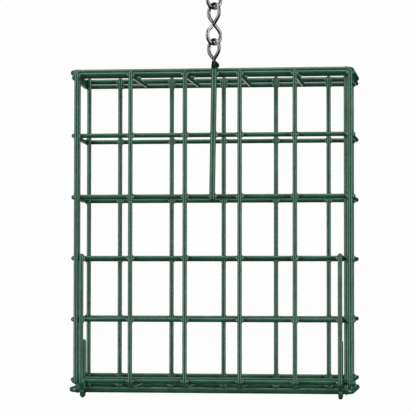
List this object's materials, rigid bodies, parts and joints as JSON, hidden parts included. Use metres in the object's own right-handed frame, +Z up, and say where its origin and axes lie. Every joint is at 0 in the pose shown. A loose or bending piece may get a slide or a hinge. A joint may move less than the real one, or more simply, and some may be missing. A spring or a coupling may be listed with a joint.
{
  "type": "hanging bird feeder",
  "caption": "Hanging suet feeder: a green coated wire cage with a hinged front door, on a short nickel jack chain and an S-hook.",
  "frame": {"origin": "where the S-hook's inner face rests on what it hangs from", "axes": "+Z up, -Y out of the front door, +X to the right as seen from the front"},
  "size_m": [0.1307, 0.0511, 0.2254],
  "materials": {
    "green_coating": "smooth glossy plastic coating on steel wire",
    "nickel": "bright nickel plate"
  },
  "bodies": {
    "hook": {"top_hook": "nickel"},
    "link_3": {"chain_link_3": "nickel"},
    "link_2": {"chain_link_2": "nickel"},
    "link_1": {"chain_link_1": "nickel"},
    "basket": {"top_ring": "green_coating", "bottom_ring": "green_coating", "front_post_left": "green_coating", "front_post_right": "green_coating", "back_post_left": "green_coating", "back_post_right": "green_coating", "top_mid_wire": "green_coating", "bottom_mid_wire": "green_coating", "back_upright_1": "green_coating", "back_upright_2": "green_coating", "back_upright_3": "green_coating", "back_upright_4": "green_coating", "back_upright_5": "green_coating", "row_wire_1": "green_coating", "row_wire_2": "green_coating", "row_wire_3": "green_coating", "row_wire_4": "green_coating", "row_wire_5": "green_coating", "row_wire_6": "green_coating", "top_slat_1": "green_coating", "top_slat_2": "green_coating", "top_slat_3": "green_coating", "top_slat_4": "green_coating", "bottom_slat_1": "green_coating", "bottom_slat_2": "green_coating", "bottom_slat_3": "green_coating", "bottom_slat_4": "green_coating"},
    "door": {"door_upright_1": "green_coating", "door_upright_2": "green_coating", "door_upright_3": "green_coating", "door_upright_4": "green_coating", "door_upright_5": "green_coating", "door_upright_6": "green_coating", "door_rail_1": "green_coating", "door_rail_2": "green_coating", "door_rail_3": "green_coating", "door_rail_4": "green_coating", "door_rail_5": "green_coating", "door_rail_6": "green_coating", "hinge_hairpin_left": "green_coating", "hinge_hairpin_right": "green_coating", "latch_wire": "green_coating"}
  },
  "joints": [
    {"name": "link_3_swing", "type": "hinge", "parent": "hook", "child": "link_3", "pos_m": [0, 0, -0.0304], "axis": [0.7071, 0.7071, 0], "range_deg": [-35, 35]},
    {"name": "link_2_swing", "type": "hinge", "parent": "link_3", "child": "link_2", "pos_m": [0, 0, -0.04639], "axis": [0.7071, 0.7071, 0], "range_deg": [-35, 35]},
    {"name": "link_1_swing", "type": "hinge", "parent": "link_2", "child": "link_1", "pos_m": [0, 0, -0.06093], "axis": [0.7071, -0.7071, 0], "range_deg": [-35, 35]},
    {"name": "basket_swing", "type": "hinge", "parent": "link_1", "child": "basket", "pos_m": [0, 0, -0.07709], "axis": [1, 0, 0], "range_deg": [-30, 30]},
    {"name": "door_hinge", "type": "hinge", "parent": "basket", "child": "door", "pos_m": [0.0018, -0.01685, -0.21947], "axis": [1, 0, 0], "range_deg": [0, 180]}
  ]
}
